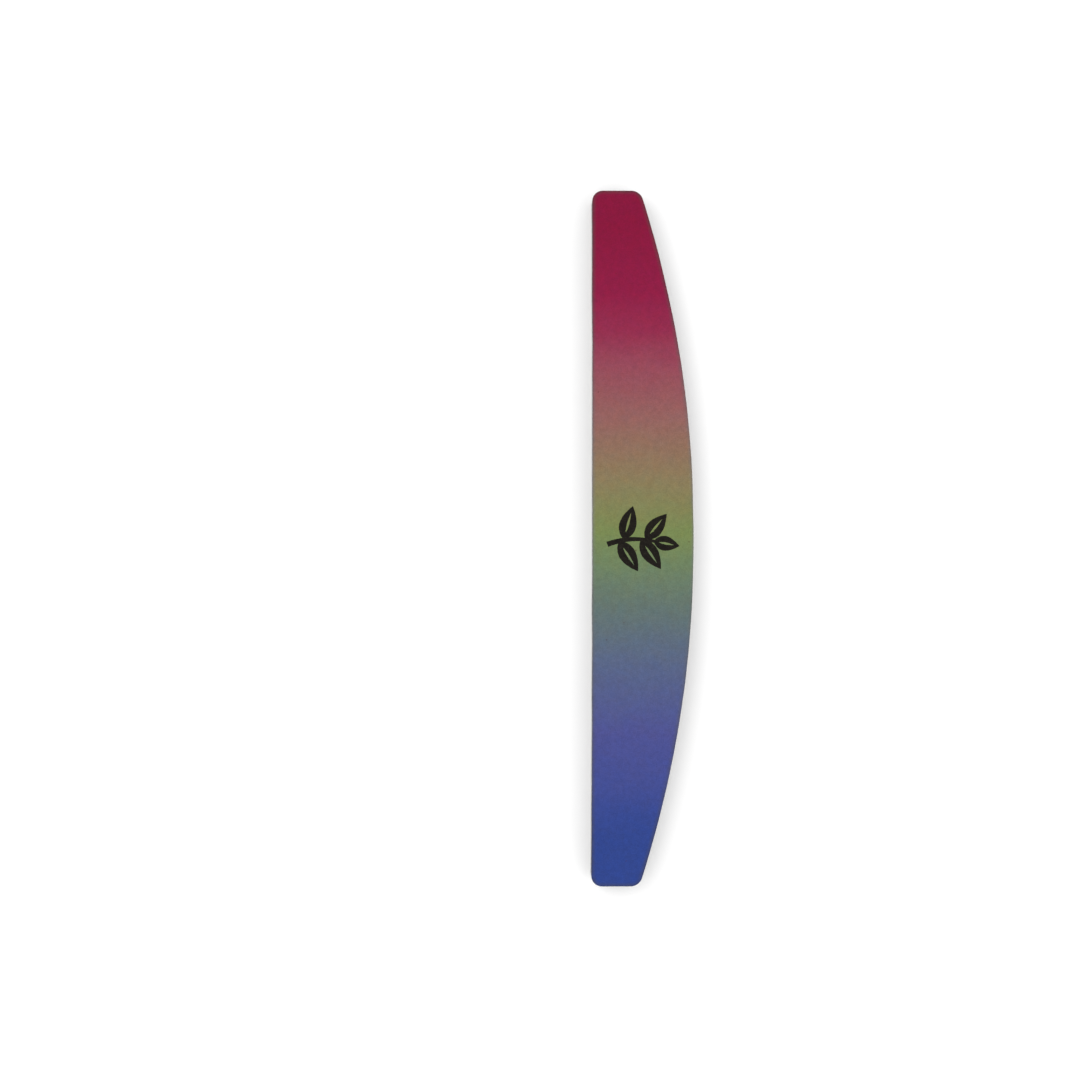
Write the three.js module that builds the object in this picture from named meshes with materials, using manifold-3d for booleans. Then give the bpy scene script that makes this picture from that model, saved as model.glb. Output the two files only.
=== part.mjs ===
// A half-moon nail buffer: a foam-cushioned hand file with one straight and one curved long edge.
// Abrasive paper covers both faces. Each paper is bonded to a foam cushion, and both cushions are
// bonded to a stiff plastic board in the middle: the faces yield under a nail, the file stays straight.
//
// Millimetres, +Z up. The buffer lies on its rear face with its length along Y, its straight edge at -X
// and its curved edge at +X. The origin is the middle of the resting face.
import * as THREE from "three";
import { mergeVertices } from "three/addons/utils/BufferGeometryUtils.js";
import Module from "manifold-3d";

// Outline
const LENGTH = 178;
const WIDTH = 26.3; // at mid-length, from the straight edge to the crown of the curved one
const END_WIDTH = 12.25; // of each end face, before its corners are rounded
const STRAIGHT_CORNER = 2.7; // corner radius beside the straight edge
const CURVED_CORNER = 3.1; // corner radius beside the curved edge
const CURVE_STEPS = 32;
const CORNER_STEPS = 6;

// Layers, from a face to the middle of the buffer
const GRIT_COAT = 0.25; // resin, abrasive grain and printed colour
const PAPER = 0.3;
const FILM = 0.15; // double-sided adhesive
const FOAM = 3.0;
const BOARD = 0.8;

// Side walls
const COAT_SHOULDER = 0.12; // how far the cut rounds the coat's upper edge
const FOAM_WAIST = 0.45; // how far the foam draws in between its two bonded faces
const WAIST_STEPS = 6;

// Printed mark: a sprig with leaves on both sides. It points across the buffer, to the curved edge.
const INK = 0.05;
const STEM = {
  base: [1.5, -9.2],
  bend: [-0.8, -3],
  tip: [0.8, 3.2],
  baseWidth: 1.4,
  tipWidth: 0.8,
};
const STEM_STEPS = 12;
// Each leaf grows from a share of the stem's length and leans off it by so many degrees, clockwise.
const LEAVES = [
  { share: 0.24, lean: 70, length: 9.2, width: 4.2 },
  { share: 0.34, lean: -66, length: 9.0, width: 4.3 },
  { share: 0.69, lean: 52, length: 9.2, width: 4.2 },
  { share: 0.78, lean: -57, length: 8.6, width: 4.1 },
  { share: 0.95, lean: -2, length: 6.8, width: 3.7 },
];
const MIDRIB = { start: 0.22, end: 0.8, width: 0.55 }; // unprinted slot, as shares of its leaf's length
const LEAF_STEPS = 12; // along each side of a leaf

const FINISHES = {
  coat: { color: 0x8a6a70, roughness: 0.85, metalness: 0 },
  paper: { color: 0xd9d2c4, roughness: 0.9, metalness: 0 },
  film: { color: 0xcfc6a6, roughness: 0.35, metalness: 0 },
  foam: { color: 0x5c5d62, roughness: 0.95, metalness: 0 },
  board: { color: 0xe9e8e4, roughness: 0.5, metalness: 0 },
  ink: { color: 0x231e22, roughness: 0.7, metalness: 0 },
};

const wasm = await Module();
wasm.setup();

// Points of an arc from angle a to angle b, both in radians, ends included.
function arc(centreX, centreY, radius, a, b, steps) {
  return Array.from({ length: steps + 1 }, (_, i) => {
    const t = a + ((b - a) * i) / steps;
    return new THREE.Vector2(centreX + radius * Math.cos(t), centreY + radius * Math.sin(t));
  });
}

// The buffer's outline, anticlockwise and drawn in by inset. Every inset gives matching points.
function outline(inset) {
  const half = LENGTH / 2;
  const sagitta = WIDTH - END_WIDTH;
  const radius = (half * half + sagitta * sagitta) / (2 * sagitta);
  const centreX = WIDTH / 2 - radius;
  const straightX = -WIDTH / 2 + STRAIGHT_CORNER;
  const straightY = half - STRAIGHT_CORNER;
  const curvedY = half - CURVED_CORNER;
  const curvedX = centreX + Math.sqrt((radius - CURVED_CORNER) ** 2 - curvedY ** 2);
  const sweep = Math.atan2(curvedY, curvedX - centreX);
  const quarter = Math.PI / 2;
  const straight = STRAIGHT_CORNER - inset;
  const curved = CURVED_CORNER - inset;
  return [
    ...arc(centreX, 0, radius - inset, -sweep, sweep, CURVE_STEPS),
    ...arc(curvedX, curvedY, curved, sweep, quarter, CORNER_STEPS).slice(1),
    ...arc(straightX, straightY, straight, quarter, 2 * quarter, CORNER_STEPS),
    ...arc(straightX, -straightY, straight, 2 * quarter, 3 * quarter, CORNER_STEPS),
    ...arc(curvedX, -curvedY, curved, 3 * quarter, 4 * quarter - sweep, CORNER_STEPS).slice(0, -1),
  ];
}

// A closed solid through outlines stacked upwards, each { z, inset }.
function stackedOutlines(levels) {
  const rings = levels.map((level) => outline(level.inset));
  const count = rings[0].length;
  const positions = rings.flatMap((ring, i) => ring.flatMap((p) => [p.x, p.y, levels[i].z]));
  const faces = [];
  for (let ring = 0; ring < rings.length - 1; ring++) {
    for (let i = 0; i < count; i++) {
      const low = ring * count + i;
      const lowNext = ring * count + ((i + 1) % count);
      faces.push(low, lowNext, lowNext + count, low, lowNext + count, low + count);
    }
  }
  const top = (rings.length - 1) * count;
  for (const [a, b, c] of THREE.ShapeUtils.triangulateShape(rings[0], [])) faces.push(a, c, b);
  for (const [a, b, c] of THREE.ShapeUtils.triangulateShape(rings.at(-1), [])) {
    faces.push(top + a, top + b, top + c);
  }
  const geometry = new THREE.BufferGeometry();
  geometry.setAttribute("position", new THREE.Float32BufferAttribute(positions, 3));
  geometry.setIndex(faces);
  geometry.computeVertexNormals();
  return geometry;
}

// A flat layer whose side wall is square to its faces.
function sheet(thickness) {
  return stackedOutlines([
    { z: 0, inset: 0 },
    { z: thickness, inset: 0 },
  ]);
}

// The abrasive coat. Its cut edge is rounded off on the working side, the lower one on the rear face.
function coat(isFront) {
  const shoulder = { z: isFront ? GRIT_COAT : 0, inset: COAT_SHOULDER };
  const middle = { z: GRIT_COAT / 2, inset: 0 };
  const bonded = { z: isFront ? 0 : GRIT_COAT, inset: 0 };
  return stackedOutlines(isFront ? [bonded, middle, shoulder] : [shoulder, middle, bonded]);
}

// The foam cushion: die cutting squeezes it, and it springs back with a hollow side.
function foam() {
  const levels = Array.from({ length: WAIST_STEPS + 1 }, (_, i) => {
    const share = i / WAIST_STEPS;
    return { z: FOAM * share, inset: FOAM_WAIST * Math.sin(Math.PI * share) };
  });
  return stackedOutlines(levels);
}

// A pointed leaf from the origin along +Y, widest before its middle.
function leafShape(length, width) {
  const side = new THREE.CubicBezierCurve(
    new THREE.Vector2(0, 0),
    new THREE.Vector2(width * 0.9, length * 0.3),
    new THREE.Vector2(width * 0.42, length * 0.74),
    new THREE.Vector2(0, length),
  ).getPoints(LEAF_STEPS);
  const mirrored = side.slice(1, -1).map((p) => new THREE.Vector2(-p.x, p.y));
  return new THREE.Shape([...side, ...mirrored.reverse()]);
}

const stem = new THREE.QuadraticBezierCurve(
  new THREE.Vector2(...STEM.base),
  new THREE.Vector2(...STEM.bend),
  new THREE.Vector2(...STEM.tip),
);

// The stem, tapering from its base to its tip.
function stemShape() {
  const left = [];
  const right = [];
  for (let i = 0; i <= STEM_STEPS; i++) {
    const share = i / STEM_STEPS;
    const half = THREE.MathUtils.lerp(STEM.baseWidth, STEM.tipWidth, share) / 2;
    const centre = stem.getPoint(share);
    const along = stem.getTangent(share);
    left.push(new THREE.Vector2(centre.x - along.y * half, centre.y + along.x * half));
    right.push(new THREE.Vector2(centre.x + along.y * half, centre.y - along.x * half));
  }
  return new THREE.Shape([...right, ...left.reverse()]);
}

// Where a leaf grows: its own origin on the stem, its +Y leaning off the stem's direction.
function leafPlace(leaf) {
  const foot = stem.getPoint(leaf.share);
  const along = stem.getTangent(leaf.share);
  const turn = Math.atan2(-along.x, along.y) - THREE.MathUtils.degToRad(leaf.lean);
  return new THREE.Matrix4().makeRotationZ(turn).setPosition(foot.x, foot.y, 0);
}

// A flat shape as a manifold solid from Z = bottom to Z = top, moved by place.
function extruded(shape, bottom, top, place = new THREE.Matrix4()) {
  const geometry = new THREE.ExtrudeGeometry(shape, { depth: top - bottom, bevelEnabled: false });
  geometry.translate(0, 0, bottom);
  geometry.applyMatrix4(place);
  geometry.deleteAttribute("normal");
  geometry.deleteAttribute("uv");
  const merged = mergeVertices(geometry, 1e-4);
  const mesh = new wasm.Mesh({
    numProp: 3,
    vertProperties: merged.attributes.position.array,
    triVerts: new Uint32Array(merged.index.array),
  });
  return new wasm.Manifold(mesh);
}

// The printed mark, as one solid lying on Z = 0.
function mark() {
  let ink = extruded(stemShape(), 0, INK);
  for (const leaf of LEAVES) {
    ink = ink.add(extruded(leafShape(leaf.length, leaf.width), 0, INK, leafPlace(leaf)));
  }
  for (const leaf of LEAVES) {
    const slot = leafShape(leaf.length * (MIDRIB.end - MIDRIB.start), MIDRIB.width);
    const place = leafPlace(leaf);
    place.multiply(new THREE.Matrix4().makeTranslation(0, leaf.length * MIDRIB.start, 0));
    ink = ink.subtract(extruded(slot, -INK, 2 * INK, place));
  }
  const solid = ink.getMesh();
  const geometry = new THREE.BufferGeometry();
  geometry.setAttribute("position", new THREE.Float32BufferAttribute(solid.vertProperties, 3));
  geometry.setIndex(new THREE.BufferAttribute(solid.triVerts, 1));
  geometry.rotateZ(-Math.PI / 2);
  geometry.computeVertexNormals();
  return geometry;
}

const buffer = new THREE.Group();
let height = 0;

// Lays a piece on top of the pieces so far.
function lay(name, geometry, finish, thickness) {
  const mesh = new THREE.Mesh(geometry, new THREE.MeshStandardMaterial(finish));
  mesh.name = name;
  mesh.position.z = height;
  buffer.add(mesh);
  height += thickness;
}

lay("rear_grit_coat", coat(false), FINISHES.coat, GRIT_COAT);
lay("rear_paper", sheet(PAPER), FINISHES.paper, PAPER);
lay("rear_outer_film", sheet(FILM), FINISHES.film, FILM);
lay("rear_foam", foam(), FINISHES.foam, FOAM);
lay("rear_inner_film", sheet(FILM), FINISHES.film, FILM);
lay("core_board", sheet(BOARD), FINISHES.board, BOARD);
lay("front_inner_film", sheet(FILM), FINISHES.film, FILM);
lay("front_foam", foam(), FINISHES.foam, FOAM);
lay("front_outer_film", sheet(FILM), FINISHES.film, FILM);
lay("front_paper", sheet(PAPER), FINISHES.paper, PAPER);
lay("front_grit_coat", coat(true), FINISHES.coat, GRIT_COAT);
lay("front_mark", mark(), FINISHES.ink, INK);

export default buffer;
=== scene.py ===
# Looks of a half-moon nail buffer: a rainbow-printed abrasive face on each side, backing papers,
# adhesive films, two foam cushions and a core board. Each layer is a closed mesh of its own, in metres,
# in the frame's coordinates: the length along Y, the curved edge at +X, the front face at the top.
import math

import bpy
import numpy as np
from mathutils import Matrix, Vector, kdtree, noise
from mathutils.bvhtree import BVHTree
from mathutils.geometry import delaunay_2d_cdt


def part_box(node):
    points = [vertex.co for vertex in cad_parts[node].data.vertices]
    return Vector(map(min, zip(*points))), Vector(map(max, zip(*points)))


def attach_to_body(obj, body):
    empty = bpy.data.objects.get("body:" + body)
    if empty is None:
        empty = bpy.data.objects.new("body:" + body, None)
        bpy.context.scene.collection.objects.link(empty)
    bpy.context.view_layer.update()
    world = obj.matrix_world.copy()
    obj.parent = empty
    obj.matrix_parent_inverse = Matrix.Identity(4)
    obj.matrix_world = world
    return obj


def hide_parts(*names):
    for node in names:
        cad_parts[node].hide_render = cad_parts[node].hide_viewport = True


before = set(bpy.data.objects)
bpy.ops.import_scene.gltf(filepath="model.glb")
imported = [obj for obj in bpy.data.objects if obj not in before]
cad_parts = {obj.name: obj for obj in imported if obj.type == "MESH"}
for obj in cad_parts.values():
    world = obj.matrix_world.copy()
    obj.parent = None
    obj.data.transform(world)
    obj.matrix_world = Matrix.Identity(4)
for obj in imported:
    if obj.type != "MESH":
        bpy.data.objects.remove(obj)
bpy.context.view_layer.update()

MM = 0.001

# ---------------------------------------------------------------- outline, from the frame's own box

FACE_LOW, FACE_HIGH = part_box("front_grit_coat")
LENGTH = FACE_HIGH.y - FACE_LOW.y
WIDTH = FACE_HIGH.x - FACE_LOW.x
END_WIDTH = 12.25 * MM  # of each end face, before its corners are rounded
STRAIGHT_CORNER = 2.7 * MM  # corner radius beside the straight edge
CURVED_CORNER = 3.1 * MM  # corner radius beside the curved edge

HALF = LENGTH / 2
SAGITTA = WIDTH - END_WIDTH
CROWN_RADIUS = (HALF * HALF + SAGITTA * SAGITTA) / (2 * SAGITTA)
CROWN_X = WIDTH / 2 - CROWN_RADIUS
STRAIGHT_X = -WIDTH / 2 + STRAIGHT_CORNER
STRAIGHT_Y = HALF - STRAIGHT_CORNER
CURVED_Y = HALF - CURVED_CORNER
CURVED_X = CROWN_X + math.sqrt((CROWN_RADIUS - CURVED_CORNER) ** 2 - CURVED_Y ** 2)
SWEEP = math.atan2(CURVED_Y, CURVED_X - CROWN_X)

# The die leaves the cut slightly off the ideal line, by the same amount in every layer.
EDGE_BOW = 0.22 * MM  # the straight edge draws in at its middle
CROWN_FLAT = 0.3 * MM  # the curved edge is a little flat at its crown
CROWN_REACH = 24 * MM  # how far along the flat part fades
EDGE_WANDER = 0.07 * MM
WANDER_LENGTH = 9 * MM
WANDER_SEED = 4.2
LONG_EDGE = 0.9  # an outward normal that points this much sideways belongs to a long edge

# ---------------------------------------------------------------- surface detail

# Abrasive faces
GRAIN_STEP = 0.235 * MM  # spacing of the points that carry the grain
GRAIN_JITTER = 0.22  # how far they stray
GRAIN_BORDER = 0.4  # how far they keep from the border; these two are shares of their spacing
COARSE_GRAIN = 0.034 * MM  # height of the front face's grain
FINE_GRAIN = 0.022 * MM  # and of the rear one's
COARSE_CRYSTAL = 0.3 * MM  # size of the front face's crystals in its material
FINE_CRYSTAL = 0.22 * MM  # and of the rear one's
CLUMP = 0.016 * MM  # height of clumps of grain
CLUMP_SIZE = 0.8 * MM
SWELL = 0.03 * MM  # slow rise and fall of the paper over the foam
SWELL_SIZE = 14 * MM
SHOULDER_DROP = 0.13 * MM
SHOULDER_WIDTH = 0.6 * MM
SHOULDER_POWER = 2.2
RIM_WIDTH = 0.95 * MM  # how far in the painted edge shade and wear reach
# A coat's wall, ring by ring from its bonded face: how far each is drawn in, and its share of the height.
COAT_INSETS = np.array([0, 0, 0, 0.03, 0.08, 0.15]) * MM
COAT_HEIGHTS = [0, 0.3, 0.62, 0.82, 0.93, 1]
FACE_INSET = COAT_INSETS[-1]
WALL_ROUGH = 0.02 * MM  # fine roughness of a coat's or a cushion's wall

# Paper, films and board: the spacing of a wall's points and the number of its rings
PAPER_STEP, PAPER_RINGS = 0.2 * MM, 5
FILM_STEP, FILM_RINGS = 0.25 * MM, 4
BOARD_STEP, BOARD_RINGS = 0.3 * MM, 7
FINE_SHARE = 0.4  # share of a ragged wall's roughness that is in fine bumps
FINE_SIZE = 0.25  # size of the fine bumps, as a share of the coarse ones
SET_BACK = 0.7  # a ragged wall is cut inwards more than it stands out, by this share of its roughness

# Foam cushions
FOAM_WAIST = 0.45 * MM
WAIST_UNEVEN = 0.16  # how much the waist varies along the wall
WAIST_WAVE = 7 * MM
CELL_SPACING = 0.42 * MM
CELL_JITTER = 0.42  # these two are shares of the cells' spacing
CELL_RADII = (0.3, 0.62)
CELL_DEPTH = 0.1 * MM
FOAM_STEP = 0.15 * MM
FOAM_RINGS = 21
PERIMETER_STEP = 1 * MM  # fine enough to measure the way round the outline

# Printed mark
INK_RISE = 0.028 * MM
INK_BORDER_RISE = 0.35  # share of that rise at the ink's border
INK_SINK = 0.03 * MM  # how far the ink fills the grain under it
INK_BORDER_STEP = 0.14 * MM
INK_STEP = 0.17 * MM
INK_JITTER = 0.25  # these two are shares of INK_STEP
INK_CLEARANCE = 0.6
RAY_START = 1 * MM  # how far above the face the search for the grain under the ink starts
INK_DRIFT = 0.045 * MM  # how far the ink's border wanders
INK_DRIFT_SIZE = 0.5 * MM
INK_DRIFT_SEEDS = (1.5, 8.5)

# Seeds of the noise and of the random draws
GRAIN_SEED = 20
CLUMP_SEED = 3
SWELL_SEED = 9
FINE_SEED = 7
FILM_SEED = 35
FOAM_SEED = 40
BOARD_SEED = 60

GRAIN_SHARP = 75  # degrees: steeper than the grain, so that only real corners are sharp
SAME_HEIGHT = 0.004 * MM
SAME_POINT = 1e-9
ALL_FACES, INSIDE_FACES = 0, 1  # what delaunay_2d_cdt returns
MIX_FIRST, MIX_SECOND, MIX_RESULT = 6, 7, 2  # the colour sockets of a Mix node

rng = np.random.default_rng(GRAIN_SEED)


def arc(centre, radius, start, end, step):
    """Points and outward normals along an arc, its last point left out."""
    count = max(2, round(abs(end - start) * radius / step))
    angle = start + (end - start) * np.arange(count) / count
    normal = np.stack([np.cos(angle), np.sin(angle)], 1)
    return np.array(centre) + radius * normal, normal


def line(start, end, normal, step):
    """Points and outward normals along a straight stretch, its last point left out."""
    start, end = np.array(start), np.array(end)
    count = max(2, round(float(np.linalg.norm(end - start)) / step))
    share = (np.arange(count) / count)[:, None]
    return start + (end - start) * share, np.tile(np.array(normal, float), (count, 1))


def outline(step):
    """The buffer's outline, anticlockwise: points, outward normals, distance along it and its length."""
    quarter = math.pi / 2
    stretches = [
        arc((CROWN_X, 0), CROWN_RADIUS, -SWEEP, SWEEP, step),
        arc((CURVED_X, CURVED_Y), CURVED_CORNER, SWEEP, quarter, step),
        line((CURVED_X, HALF), (STRAIGHT_X, HALF), (0, 1), step),
        arc((STRAIGHT_X, STRAIGHT_Y), STRAIGHT_CORNER, quarter, 2 * quarter, step),
        line((-WIDTH / 2, STRAIGHT_Y), (-WIDTH / 2, -STRAIGHT_Y), (-1, 0), step),
        arc((STRAIGHT_X, -STRAIGHT_Y), STRAIGHT_CORNER, 2 * quarter, 3 * quarter, step),
        line((STRAIGHT_X, -HALF), (CURVED_X, -HALF), (0, -1), step),
        arc((CURVED_X, -CURVED_Y), CURVED_CORNER, 3 * quarter, 4 * quarter - SWEEP, step),
    ]
    points = np.concatenate([stretch[0] for stretch in stretches])
    normals = np.concatenate([stretch[1] for stretch in stretches])
    gaps = np.linalg.norm(np.roll(points, -1, 0) - points, axis=1)
    along = np.concatenate([[0.0], np.cumsum(gaps)[:-1]])
    return points, normals, along, float(gaps.sum())


def depth_inside(x, y):
    """How far points lie inside the ideal outline; negative outside it."""
    up = np.abs(y)
    depth = np.minimum(x + WIDTH / 2, HALF - up)
    depth = np.minimum(depth, CROWN_RADIUS - np.hypot(x - CROWN_X, y))
    at_straight = (x < STRAIGHT_X) & (up > STRAIGHT_Y)
    depth = np.where(at_straight, STRAIGHT_CORNER - np.hypot(x - STRAIGHT_X, up - STRAIGHT_Y), depth)
    turn = math.cos(SWEEP) * (up - CURVED_Y) - math.sin(SWEEP) * (x - CURVED_X)
    at_curved = (turn > 0) & (x > CURVED_X)
    return np.where(at_curved, CURVED_CORNER - np.hypot(x - CURVED_X, up - CURVED_Y), depth)


def smooth_noise(x, y, size, seed):
    """Smooth noise from about -1 to 1, with features of the given size."""
    return np.array([noise.noise(Vector((a / size, b / size, seed))) for a, b in zip(x, y)])


def wander(points, normals):
    """How far the real cut lies outside the ideal outline at its points."""
    up = points[:, 1]
    bow = np.where(normals[:, 0] < -LONG_EDGE, 1 - (up / HALF) ** 2, 0)
    flat = np.where(normals[:, 0] > LONG_EDGE, np.exp(-((up / CROWN_REACH) ** 2)), 0)
    loose = EDGE_WANDER * smooth_noise(points[:, 0], up, WANDER_LENGTH, WANDER_SEED)
    return loose - EDGE_BOW * bow - CROWN_FLAT * flat


# ---------------------------------------------------------------- mesh building


def make_object(name, points, triangles, quads, sharp_degrees=40):
    """A smooth-shaded mesh object, its edges sharp where they bend more than sharp_degrees."""
    mesh = bpy.data.meshes.new(name)
    mesh.vertices.add(len(points))
    mesh.vertices.foreach_set("co", np.asarray(points, np.float32).ravel())
    corners = np.concatenate([np.asarray(triangles).ravel(), np.asarray(quads).ravel()])
    starts = np.concatenate([
        3 * np.arange(len(triangles)),
        3 * len(triangles) + 4 * np.arange(len(quads)),
    ])
    mesh.loops.add(len(corners))
    mesh.loops.foreach_set("vertex_index", corners.astype(np.int32))
    mesh.polygons.add(len(starts))
    mesh.polygons.foreach_set("loop_start", starts.astype(np.int32))
    mesh.polygons.foreach_set("use_smooth", np.ones(len(starts), bool))
    mesh.update(calc_edges=True)
    mesh.validate()
    mesh.set_sharp_from_angle(angle=math.radians(sharp_degrees))
    piece = bpy.data.objects.new(name, mesh)
    bpy.context.scene.collection.objects.link(piece)
    return piece


def fill(ring, inner=()):
    """Triangles over a closed ring and the points inside it, anticlockwise, by index into ring + inner."""
    points = [Vector(p) for p in ring] + [Vector(p) for p in inner]
    border = [list(range(len(ring)))]
    _, _, faces, sources, _, _ = delaunay_2d_cdt(points, [], border, INSIDE_FACES, SAME_POINT)
    index = [source[0] for source in sources]
    return np.array([[index[v] for v in face] for face in faces])


def walls(rings, count):
    """Quads between rings of count points that follow one another upwards."""
    here = np.arange(count)
    after = (here + 1) % count
    around = np.stack([here, after, after + count, here + count], 1)
    return np.concatenate([around + ring * count for ring in range(rings - 1)])


def border_edges(edges):
    """The directed edges that have no opposite: the border of the faces that the edges come from."""
    known = set(edges)
    return [(a, b) for a, b in edges if (b, a) not in known]


def layer(name, node, step, rings, swell):
    """A layer with flat faces, its wall standing out by swell(along, share) at a share of its height."""
    low, high = (corner.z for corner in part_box(node))
    points, normals, along, _ = outline(step)
    points = points + normals * wander(points, normals)[:, None]
    count = len(points)
    levels = []
    for share in np.linspace(0, 1, rings):
        ring = points + normals * swell(along, share)[:, None]
        levels.append(np.column_stack([ring, np.full(count, low + (high - low) * share)]))
    bottom = fill(levels[0][:, :2])
    top = fill(levels[-1][:, :2])
    triangles = np.concatenate([bottom[:, ::-1], top + (rings - 1) * count])
    return make_object(name, np.concatenate(levels), triangles, walls(rings, count))


def ragged(amount, size, bulge, seed):
    """A wall that stands out by bulge in its middle and is rough by amount, in bumps of the given size."""

    def swell(along, share):
        height = np.full(len(along), share * size)
        coarse = smooth_noise(along, height, size, seed)
        fine = smooth_noise(along, height, FINE_SIZE * size, seed + FINE_SEED)
        rough = (1 - FINE_SHARE) * coarse + FINE_SHARE * fine
        return bulge * math.sin(math.pi * share) + amount * (rough - SET_BACK)

    return swell


# ---------------------------------------------------------------- abrasive faces


def inner_points(border_depth):
    """A jittered triangular grid of points inside the outline."""
    rows = np.arange(-HALF, HALF, GRAIN_STEP * math.sqrt(3) / 2)
    columns = np.arange(-WIDTH / 2, WIDTH / 2, GRAIN_STEP)
    x, y = np.meshgrid(columns, rows)
    x = x + (np.arange(len(rows)) % 2)[:, None] * GRAIN_STEP / 2
    x = x + rng.uniform(-GRAIN_JITTER, GRAIN_JITTER, x.shape) * GRAIN_STEP
    y = y + rng.uniform(-GRAIN_JITTER, GRAIN_JITTER, y.shape) * GRAIN_STEP
    x, y = x.ravel(), y.ravel()
    keep = depth_inside(x, y) > border_depth
    return np.column_stack([x[keep], y[keep]])


def face_plan():
    """The plan of an abrasive face: its border ring, the ring's normals, inner points and triangles."""
    points, normals, _, _ = outline(GRAIN_STEP)
    ring = points + normals * (wander(points, normals) - FACE_INSET)[:, None]
    inner = inner_points(FACE_INSET + CROWN_FLAT + EDGE_WANDER + GRAIN_BORDER * GRAIN_STEP)
    return ring, normals, inner, fill(ring, inner)


def shoulder(depth):
    """How far the face falls away near its cut edge."""
    share = np.clip(1 - depth / SHOULDER_WIDTH, 0, 1)
    return SHOULDER_DROP * share ** SHOULDER_POWER


def coat_wall(ring, normals, bonded, side, height):
    """The rings of a coat's wall, from its bonded face to the border of its working face."""
    count = len(ring)
    levels = []
    for inset, share in zip(COAT_INSETS, COAT_HEIGHTS):
        rough = WALL_ROUGH * rng.uniform(-1, 1, (count, 1))
        if share in (0, 1):
            rough = 0
        level = ring + normals * (FACE_INSET - inset + rough)
        levels.append(np.column_stack([level, np.full(count, bonded + side * height * share)]))
    return levels


def face_drop(x, y, depth, grain, side):
    """How far the points of a working face lie below the coat's full height."""
    relief = grain * rng.uniform(-1, 1, len(x)) + CLUMP * smooth_noise(x, y, CLUMP_SIZE, CLUMP_SEED + side)
    relief += SWELL * smooth_noise(x, y, SWELL_SIZE, SWELL_SEED + side)
    return shoulder(depth) + grain + CLUMP + SWELL - relief


def store_rim(piece, rim):
    """Stores how close each point lies to the face's edge, for the material's painted edge shade and wear.
    """
    store = piece.data.attributes.new("rim", "FLOAT", "POINT")
    store.data.foreach_set("value", rim.astype(np.float32))


def abrasive_coat(name, node, grain, plan, side):
    """A grit coat with real grain. side is 1 on the front face and -1 on the rear one."""
    low, high = (corner.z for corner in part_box(node))
    bonded, working = (low, high) if side > 0 else (high, low)
    ring, normals, inner, triangles = plan
    count = len(ring)
    levels = coat_wall(ring, normals, bonded, side, high - low - shoulder(FACE_INSET))
    last = (len(levels) - 1) * count
    x, y = np.concatenate([ring, inner]).T
    depth = np.concatenate([np.full(count, FACE_INSET), depth_inside(*inner.T)])
    surface = np.column_stack([x, y, working - side * face_drop(x, y, depth, grain, side)])
    points = np.concatenate([*levels[:-1], surface])
    quads = walls(len(levels), count)
    faces = np.concatenate([fill(levels[0][:, :2])[:, ::-1], triangles + last])
    if side < 0:
        quads, faces = quads[:, ::-1], faces[:, ::-1]
    piece = make_object(name, points, faces, quads, sharp_degrees=GRAIN_SHARP)
    # Closeness to the edge, which the material turns into painted shade and wear along the rim.
    edge_closeness = np.clip(1 - (depth - FACE_INSET) / RIM_WIDTH, 0, 1)
    store_rim(piece, np.concatenate([np.ones(last), edge_closeness]))
    return piece


# ---------------------------------------------------------------- foam


def cut_cells(height, cells_rng):
    """The cells that the cut opens on a cushion's wall: a tree of their centres, and their radii."""
    _, _, _, around = outline(PERIMETER_STEP)
    columns = int(around / CELL_SPACING)
    rows = int(height / CELL_SPACING)
    tree = kdtree.KDTree((columns + 4) * rows)
    radii = []
    for column in range(-2, columns + 2):
        for row in range(rows):
            shift = cells_rng.uniform(-CELL_JITTER, CELL_JITTER, 2)
            along = (column + 0.5 * (row % 2) + shift[0]) * CELL_SPACING
            up = (row + 0.5 + shift[1]) * height / rows
            tree.insert((along, up, 0), len(radii))
            radii.append(cells_rng.uniform(*CELL_RADII) * CELL_SPACING)
    tree.balance()
    return tree, radii


def foam_cushion(name, node, seed):
    """A foam cushion, hollow between its bonded faces, with cut cells all over its wall."""
    low, high = (corner.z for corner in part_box(node))
    cells_rng = np.random.default_rng(seed)
    tree, radii = cut_cells(high - low, cells_rng)

    def swell(along, share):
        up = share * (high - low)
        waist = FOAM_WAIST * math.sin(math.pi * share)
        uneven = 1 + WAIST_UNEVEN * smooth_noise(along, np.full(len(along), up), WAIST_WAVE, seed)
        out = -waist * uneven
        if 0 < share < 1:
            for i, place in enumerate(along):
                _, found, distance = tree.find((place, up, 0))
                if distance < radii[found]:
                    out[i] -= CELL_DEPTH * math.sqrt(1 - (distance / radii[found]) ** 2)
            out += WALL_ROUGH * cells_rng.uniform(-1, 1, len(along))
        return out

    return layer(name, node, FOAM_STEP, FOAM_RINGS, swell)


# ---------------------------------------------------------------- printed mark


def mark_loops():
    """The closed outlines of the CAD mark's upper face, each an array of points."""
    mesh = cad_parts["front_mark"].data
    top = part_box("front_mark")[1].z
    keys = [tuple(round(c / MM, 3) for c in vertex.co) for vertex in mesh.vertices]
    edges = []
    for polygon in mesh.polygons:
        if all(abs(keys[v][2] * MM - top) < SAME_HEIGHT for v in polygon.vertices):
            corners = [keys[v][:2] for v in polygon.vertices]
            edges += zip(corners, corners[1:] + corners[:1])
    follow = dict(border_edges(edges))
    loops = []
    while follow:
        start, point = follow.popitem()
        loop = [start]
        while point != start:
            loop.append(point)
            point = follow.pop(point)
        loops.append(np.array(loop) * MM)
    return loops


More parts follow.
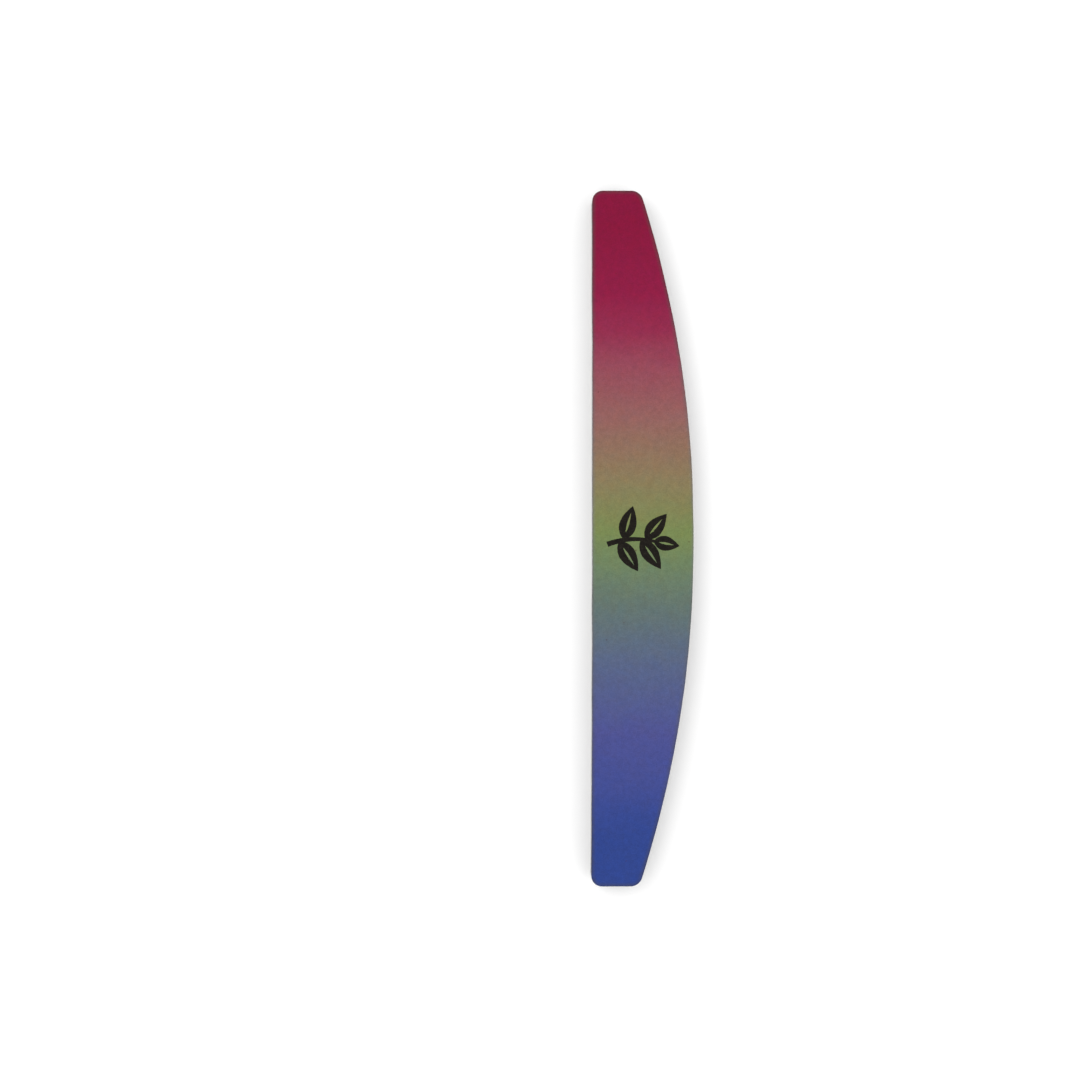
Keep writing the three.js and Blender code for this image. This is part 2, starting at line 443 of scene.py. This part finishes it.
def resample(loop, step):
    """The loop with points at most step apart, slightly wandering as ink does at its border."""
    points = []
    for a, b in zip(loop, np.roll(loop, -1, 0)):
        count = max(1, math.ceil(float(np.linalg.norm(b - a)) / step))
        points.extend(a + (b - a) * i / count for i in range(count))
    points = np.array(points)
    drift = [smooth_noise(*points.T, INK_DRIFT_SIZE, seed) for seed in INK_DRIFT_SEEDS]
    return points + INK_DRIFT * np.stack(drift, 1)


def crossings(point, loop):
    """Whether a ray from the point crosses the loop an odd number of times."""
    a, b = loop, np.roll(loop, -1, 0)
    spans = (a[:, 1] > point[1]) != (b[:, 1] > point[1])
    a, b = a[spans], b[spans]
    at = a[:, 0] + (point[1] - a[:, 1]) * (b[:, 0] - a[:, 0]) / (b[:, 1] - a[:, 1])
    return bool(np.count_nonzero(at > point[0]) % 2)


def inside(point, outer, holes):
    """Whether a point is in the outer loop and in none of the holes."""
    return crossings(point, outer) and not any(crossings(point, hole) for hole in holes)


def ink_grid(outer, holes, border):
    """A jittered grid of points inside the mark, clear of its border."""
    low, high = outer.min(0), outer.max(0)
    x, y = np.meshgrid(np.arange(low[0], high[0], INK_STEP), np.arange(low[1], high[1], INK_STEP))
    jitter = rng.uniform(-INK_JITTER, INK_JITTER, (x.size, 2)) * INK_STEP
    grid = np.column_stack([x.ravel(), y.ravel()]) + jitter
    tree = kdtree.KDTree(len(border))
    for i, point in enumerate(border):
        tree.insert((*point, 0), i)
    tree.balance()
    clear = INK_CLEARANCE * INK_STEP
    return [p for p in grid if tree.find((*p, 0))[2] > clear and inside(p, outer, holes)]


def ink_plan():
    """The plan of the mark: its points and its triangles."""
    loops = [resample(loop, INK_BORDER_STEP) for loop in mark_loops()]
    outer = max(loops, key=lambda loop: np.ptp(loop[:, 0]))
    holes = [loop for loop in loops if loop is not outer]
    border = np.concatenate(loops)
    points = [Vector(p) for p in border] + [Vector(p) for p in ink_grid(outer, holes, border)]
    edges = []
    for loop in loops:
        ids = list(range(len(edges), len(edges) + len(loop)))
        edges += zip(ids, ids[1:] + ids[:1])
    flat, _, faces, _, _, _ = delaunay_2d_cdt(points, edges, [], ALL_FACES, SAME_POINT)
    flat = np.array(flat)
    triangles = np.array([face for face in faces if inside(flat[face].mean(0), outer, holes)])
    used, triangles = np.unique(triangles, return_inverse=True)
    return flat[used], triangles.reshape(-1, 3)


def printed_mark(name, face):
    """The mark as a skin of ink that follows the grain of the face under it."""
    flat, triangles = ink_plan()
    count = len(flat)
    tree = BVHTree.FromObject(face, bpy.context.evaluated_depsgraph_get())
    above = FACE_HIGH.z + RAY_START
    down = Vector((0, 0, -1))
    ground = np.array([tree.ray_cast(Vector((*p, above)), down)[0].z for p in flat])
    rims = border_edges([edge for a, b, c in triangles for edge in ((a, b), (b, c), (c, a))])
    on_rim = np.zeros(count, bool)
    on_rim[[a for a, _ in rims]] = True
    rise = np.where(on_rim, INK_BORDER_RISE * INK_RISE, INK_RISE)
    upper = np.column_stack([flat, ground + rise])
    lower = np.column_stack([flat, ground - INK_SINK])
    faces = np.concatenate([triangles, triangles[:, ::-1] + count])
    quads = np.array([(b, a, a + count, b + count) for a, b in rims])
    return make_object(name, np.concatenate([upper, lower]), faces, quads, sharp_degrees=GRAIN_SHARP)


# ---------------------------------------------------------------- materials


def linear(red, green, blue):
    """An sRGB colour, 0 to 255, as the linear RGBA that nodes take."""
    channels = []
    for value in (red / 255, green / 255, blue / 255):
        channels.append(value / 12.92 if value <= 0.04045 else ((value + 0.055) / 1.055) ** 2.4)
    return (*channels, 1)


def scaled_colour(colour, factor):
    """A colour with its red, green and blue multiplied by a factor."""
    return (*(factor * channel for channel in colour[:3]), 1)


def grey(value):
    """A linear grey."""
    return (value, value, value, 1)


class Nodes:
    """A material's node tree, with a method for each kind of node that the materials share."""

    def __init__(self, name, roughness, specular):
        self.material = bpy.data.materials.new(name)
        self.material.use_nodes = True
        self.tree = self.material.node_tree
        self.shader = self.tree.nodes["Principled BSDF"]
        self.shader.inputs["Roughness"].default_value = roughness
        self.shader.inputs["Specular IOR Level"].default_value = specular
        self.place = self.add("ShaderNodeTexCoord").outputs["Object"]

    def add(self, kind, **settings):
        node = self.tree.nodes.new(kind)
        for key, value in settings.items():
            setattr(node, key, value)
        return node

    def link(self, output, socket):
        self.tree.links.new(output, socket)

    def fill_in(self, socket, value):
        """Sets a socket to a plain value, or links it where value is another node's output."""
        if isinstance(value, bpy.types.NodeSocket):
            self.link(value, socket)
        else:
            socket.default_value = value

    def scaled(self, scale):
        """Object coordinates, stretched by a scale along each axis."""
        mapping = self.add("ShaderNodeMapping")
        mapping.inputs["Scale"].default_value = scale
        self.link(self.place, mapping.inputs["Vector"])
        return mapping.outputs["Vector"]

    def noise(self, size, detail=2.0, rough=0.5, place=None):
        """Noise with features of that size, in metres, unless place is scaled already."""
        node = self.add("ShaderNodeTexNoise")
        node.inputs["Scale"].default_value = 1 / size
        node.inputs["Detail"].default_value = detail
        node.inputs["Roughness"].default_value = rough
        self.link(place or self.place, node.inputs["Vector"])
        return node.outputs["Fac"]

    def cells(self, size):
        """Distance to the middle of the nearest of scattered cells of that size."""
        node = self.add("ShaderNodeTexVoronoi")
        node.inputs["Scale"].default_value = 1 / size
        self.link(self.place, node.inputs["Vector"])
        return node.outputs["Distance"]

    def ranged(self, value, low, high, to_low, to_high):
        """The value, mapped from one range to another and kept within it."""
        node = self.add("ShaderNodeMapRange")
        self.link(value, node.inputs["Value"])
        node.inputs["From Min"].default_value = low
        node.inputs["From Max"].default_value = high
        node.inputs["To Min"].default_value = to_low
        node.inputs["To Max"].default_value = to_high
        return node.outputs["Result"]

    def combine(self, operation, first, second):
        node = self.add("ShaderNodeMath", operation=operation)
        self.fill_in(node.inputs[0], first)
        self.fill_in(node.inputs[1], second)
        return node.outputs["Value"]

    def brightness(self, colour):
        """The colour's brightness, as a grey."""
        node = self.add("ShaderNodeRGBToBW")
        self.link(colour, node.inputs["Color"])
        return node.outputs["Val"]

    def ramp(self, value, stops):
        node = self.add("ShaderNodeValToRGB")
        elements = node.color_ramp.elements
        for position, colour in stops[1:-1]:
            elements.new(position).color = colour
        elements[0].position, elements[0].color = stops[0]
        elements[len(stops) - 1].position, elements[len(stops) - 1].color = stops[-1]
        self.link(value, node.inputs["Fac"])
        return node.outputs["Color"]

    def mix(self, share, first, second, blend="MIX"):
        node = self.add("ShaderNodeMix", data_type="RGBA", blend_type=blend)
        self.fill_in(node.inputs["Factor"], share)
        self.fill_in(node.inputs[MIX_FIRST], first)
        self.fill_in(node.inputs[MIX_SECOND], second)
        return node.outputs[MIX_RESULT]

    def varied(self, colour, value, low, high):
        """The colour multiplied by one colour where value is low and by another where it is high."""
        return self.mix(1.0, colour, self.ramp(value, [(0.3, low), (0.7, high)]), "MULTIPLY")

    def bump(self, height, distance, strength):
        node = self.add("ShaderNodeBump")
        node.inputs["Distance"].default_value = distance
        node.inputs["Strength"].default_value = strength
        self.link(height, node.inputs["Height"])
        self.link(node.outputs["Normal"], self.shader.inputs["Normal"])

    def finish(self, colour, roughness):
        self.link(colour, self.shader.inputs["Base Color"])
        self.link(roughness, self.shader.inputs["Roughness"])
        return self.material


# The print along the buffer, by share of its length from the red end, as it looks under the studio light.
RAINBOW = [
    (0.05, linear(138, 23, 61)),
    (0.15, linear(145, 30, 70)),
    (0.20, linear(149, 46, 79)),
    (0.25, linear(152, 73, 91)),
    (0.33, linear(150, 101, 97)),
    (0.42, linear(140, 127, 91)),
    (0.49, linear(123, 139, 84)),
    (0.54, linear(112, 132, 98)),
    (0.60, linear(101, 118, 113)),
    (0.68, linear(91, 103, 136)),
    (0.78, linear(80, 84, 148)),
    (0.86, linear(68, 79, 148)),
    (0.90, linear(56, 74, 146)),
    (0.94, linear(51, 72, 144)),
]
PRINT_LEVEL = 0.8  # the studio light is brighter than white, so the shader takes darker colours
PRINT_CLOUD = 0.012  # how far the borders between the colours drift, as a share of the length
DULL, BRIGHT = grey(0.92), grey(1.08)
WARM, COOL = (1.03, 0.99, 0.96, 1), (0.97, 1.01, 1.04, 1)
RIM_SHADE = 0.95  # brightness of the grey painted along the rim as shade of the rolled edge, as a share of the print's own
RIM_SHADE_AND_WEAR = (0.3, 0.65)  # least and most of the print's colour that the painted edge shade and patchy wear take at the very edge
SPECK = linear(70, 30, 34)


def printed_grit(name, crystal):
    """Resin and abrasive grain under a rainbow print that runs along the buffer."""
    n = Nodes(name, 0.9, 0.08)
    axes = n.add("ShaderNodeSeparateXYZ")
    n.link(n.place, axes.inputs["Vector"])
    share = n.ranged(axes.outputs["Y"], HALF, -HALF, 0, 1)
    cloud = n.ranged(n.noise(7 * MM, detail=3), 0, 1, -PRINT_CLOUD, PRINT_CLOUD)
    stops = [(position, scaled_colour(colour, PRINT_LEVEL)) for position, colour in RAINBOW]
    colour = n.ramp(n.combine("ADD", share, cloud), stops)
    mottle = n.noise(1.1 * MM, detail=3, rough=0.6)
    colour = n.varied(colour, mottle, DULL, BRIGHT)
    colour = n.varied(colour, n.noise(1.9 * MM, detail=2), WARM, COOL)
    grains = n.noise(crystal, detail=1)
    colour = n.varied(colour, grains, DULL, BRIGHT)
    # Towards the cut edge the print turns to a darker grey: painted shade of the rolled edge, patchy like
    # wear.
    edge = n.add("ShaderNodeAttribute", attribute_name="rim").outputs["Fac"]
    patchy_shade_and_wear = n.ranged(n.noise(1.6 * MM, detail=3), 0.25, 0.75, *RIM_SHADE_AND_WEAR)
    shaded_grey = n.combine("MULTIPLY", n.brightness(colour), RIM_SHADE)
    colour = n.mix(n.combine("MULTIPLY", edge, patchy_shade_and_wear), colour, shaded_grey)
    specks = n.ranged(n.cells(5.5 * MM), 0.02, 0.045, 0.7, 0)
    colour = n.mix(specks, colour, SPECK)
    crystals = n.combine("MULTIPLY", n.cells(crystal * 1.3), 0.6)
    n.bump(n.combine("ADD", grains, crystals), 0.06 * MM, 0.55)
    return n.finish(colour, n.ranged(mottle, 0.3, 0.7, 0.82, 0.97))


def paper():
    """The cut edge of backing paper: fibres that run round the edge, pale and a little dirty."""
    n = Nodes("paper_edge", 0.9, 0.2)
    fibres = n.noise(1, detail=4, rough=0.65, place=n.scaled((900, 900, 7000)))
    stains = n.noise(3 * MM, detail=2)
    colour = n.ramp(fibres, [
        (0.3, linear(150, 140, 126)),
        (0.5, linear(203, 194, 178)),
        (0.7, linear(228, 221, 207)),
    ])
    colour = n.mix(n.ranged(stains, 0.45, 0.7, 0, 0.4), colour, linear(150, 140, 134))
    n.bump(fibres, 0.05 * MM, 0.8)
    return n.finish(colour, n.ranged(stains, 0.3, 0.7, 0.85, 0.97))


def adhesive():
    """Amber double-sided adhesive with dust caught along its edge."""
    n = Nodes("adhesive_film", 0.35, 0.4)
    blobs = n.noise(0.9 * MM, detail=2)
    colour = n.ramp(blobs, [(0.3, linear(118, 112, 100)), (0.7, linear(168, 161, 146))])
    dust = n.ranged(n.noise(0.35 * MM, detail=2), 0.55, 0.7, 0, 0.6)
    colour = n.mix(dust, colour, linear(96, 92, 90))
    n.bump(blobs, 0.06 * MM, 0.6)
    return n.finish(colour, n.ranged(dust, 0, 0.6, 0.32, 0.75))


def foam():
    """Charcoal EVA foam: open cut cells with painted shade inside them, and paler walls between them."""
    n = Nodes("eva_foam", 0.95, 0.15)
    n.shader.inputs["Sheen Weight"].default_value = 0.15
    n.shader.inputs["Sheen Roughness"].default_value = 0.6
    cells = n.cells(0.33 * MM)
    small = n.cells(0.14 * MM)
    tone = n.noise(5 * MM, detail=3)
    # Darker towards each cell's middle, in both sizes of cell: painted shade in the open pores.
    colour = n.ramp(cells, [
        (0.05, linear(46, 46, 50)),
        (0.45, linear(84, 85, 90)),
        (0.8, linear(118, 119, 124)),
    ])
    fine = n.ramp(small, [(0.1, linear(52, 52, 56)), (0.7, linear(112, 113, 118))])
    colour = n.mix(0.35, colour, fine)
    colour = n.mix(n.ranged(tone, 0.35, 0.65, 0, 0.3), colour, linear(104, 104, 108))
    n.bump(n.combine("ADD", cells, n.combine("MULTIPLY", small, 0.4)), 0.12 * MM, 0.7)
    return n.finish(colour, n.ranged(tone, 0.3, 0.7, 0.88, 1))


def board():
    """White polystyrene, with the fine upright drag lines of the die on its edge."""
    n = Nodes("core_board", 0.5, 0.45)
    drags = n.noise(1, detail=3, rough=0.6, place=n.scaled((9000, 9000, 700)))
    tone = n.noise(6 * MM, detail=2)
    colour = n.ramp(drags, [(0.3, linear(200, 198, 192)), (0.7, linear(226, 225, 220))])
    colour = n.mix(n.ranged(tone, 0.4, 0.7, 0, 0.35), colour, linear(202, 197, 188))
    n.bump(drags, 0.05 * MM, 0.7)
    return n.finish(colour, n.ranged(drags, 0.3, 0.7, 0.42, 0.65))


def ink():
    """Near-black screen ink, thinner where grain tips stand through it."""
    n = Nodes("screen_ink", 0.75, 0.06)
    tips = n.noise(0.22 * MM, detail=2)
    film = n.noise(1.4 * MM, detail=3)
    colour = n.ramp(film, [(0.3, linear(20, 17, 15)), (0.7, linear(32, 29, 24))])
    colour = n.mix(n.ranged(tips, 0.58, 0.72, 0, 0.3), colour, linear(72, 68, 58))
    n.bump(tips, 0.05 * MM, 0.6)
    return n.finish(colour, n.ranged(film, 0.3, 0.7, 0.68, 0.88))


# ---------------------------------------------------------------- pieces


def attach(piece, node, material):
    """The piece stands for a CAD node, takes a material and moves with the body."""
    piece.data.materials.append(material)
    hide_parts(node)
    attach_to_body(piece, "root")


def make_faces():
    """Both abrasive faces, from one plan. Returns the front one."""
    plan = face_plan()
    front = abrasive_coat("front_grit_face", "front_grit_coat", COARSE_GRAIN, plan, 1)
    attach(front, "front_grit_coat", printed_grit("front_printed_grit", COARSE_CRYSTAL))
    rear = abrasive_coat("rear_grit_face", "rear_grit_coat", FINE_GRAIN, plan, -1)
    attach(rear, "rear_grit_coat", printed_grit("rear_printed_grit", FINE_CRYSTAL))
    return front


def make_layers(side, seed, materials):
    """The paper, films and cushion on one side of the core board."""
    wall = ragged(amount=0.045 * MM, size=0.6 * MM, bulge=0, seed=seed)
    sheet = layer(f"{side}_backing_paper", f"{side}_paper", PAPER_STEP, PAPER_RINGS, wall)
    attach(sheet, f"{side}_paper", materials["paper"])
    for place in ("outer", "inner"):
        wall = ragged(amount=0.05 * MM, size=1.3 * MM, bulge=0.02 * MM, seed=FILM_SEED + seed)
        film = layer(f"{side}_{place}_adhesive", f"{side}_{place}_film", FILM_STEP, FILM_RINGS, wall)
        attach(film, f"{side}_{place}_film", materials["adhesive"])
    cushion = foam_cushion(f"{side}_cushion", f"{side}_foam", FOAM_SEED + seed)
    attach(cushion, f"{side}_foam", materials["foam"])


shared = {"paper": paper(), "adhesive": adhesive(), "foam": foam()}
front_face = make_faces()
for seed, side in enumerate(("front", "rear")):
    make_layers(side, seed, shared)

board_wall = ragged(amount=0.02 * MM, size=2 * MM, bulge=0.03 * MM, seed=BOARD_SEED)
stiffener = layer("core_stiffener", "core_board", BOARD_STEP, BOARD_RINGS, board_wall)
attach(stiffener, "core_board", board())

mark = printed_mark("front_printed_mark", front_face)
attach(mark, "front_mark", ink())

# ---------------------------------------------------------------- floor, lights, camera

FLOOR_SIZE = 12.0
FLOOR_COLOUR = linear(254, 254, 254)
FLOOR_TONES = (0.995, 1.005)


def floor():
    """A plain pale floor that the buffer lies on."""
    reach = FLOOR_SIZE / 2
    corners = [(-reach, -reach, 0), (reach, -reach, 0), (reach, reach, 0), (-reach, reach, 0)]
    piece = make_object("floor", corners, np.zeros((0, 3), int), np.array([[0, 1, 2, 3]]))
    n = Nodes("floor_paint", 0.9, 0.1)
    tone = n.noise(0.4, detail=1)
    low, high = (scaled_colour(FLOOR_COLOUR, factor) for factor in FLOOR_TONES)
    colour = n.ramp(tone, [(0.3, low), (0.7, high)])
    piece.data.materials.append(n.finish(colour, n.ranged(tone, 0, 1, 0.88, 0.92)))


def soft_light(name, place, size, power):
    """A square area light that points at the buffer."""
    light = bpy.data.lights.new(name, "AREA")
    light.shape = "SQUARE"
    light.size = size
    light.energy = power
    holder = bpy.data.objects.new(name, light)
    holder.location = place
    holder.rotation_euler = (-Vector(place)).to_track_quat("-Z", "Y").to_euler()
    bpy.context.scene.collection.objects.link(holder)


def studio_world():
    """Even white light from all round."""
    world = bpy.data.worlds.new("studio")
    world.use_nodes = True
    background = world.node_tree.nodes["Background"]
    background.inputs["Color"].default_value = grey(1)
    background.inputs["Strength"].default_value = 1.0
    bpy.context.scene.world = world


floor()
soft_light("key", place=(-0.9, 0.7, 1.7), size=1.6, power=9.5)
soft_light("fill", place=(1.3, -0.6, 1.5), size=1.6, power=5)
studio_world()
bpy.context.scene.view_settings.view_transform = "Standard"

# The camera looks straight down. The buffer lies to the right of the view's centre, beside empty floor.
LENS = 85.0
SENSOR = 36.0
VIEW_WIDTH = 276.2 * MM  # what the view spans at the front face
VIEW_CENTRE = (-26.4 * MM, -0.4 * MM)
VIEW_ROLL = math.radians(0.07)  # the buffer lies slightly askew in the view

camera_data = bpy.data.cameras.new("camera")
camera_data.lens = LENS
camera_data.sensor_width = SENSOR
camera = bpy.data.objects.new("camera", camera_data)
camera.location = (*VIEW_CENTRE, FACE_HIGH.z + VIEW_WIDTH * LENS / SENSOR)
camera.rotation_euler.z = VIEW_ROLL
bpy.context.scene.collection.objects.link(camera)
bpy.context.scene.camera = camera
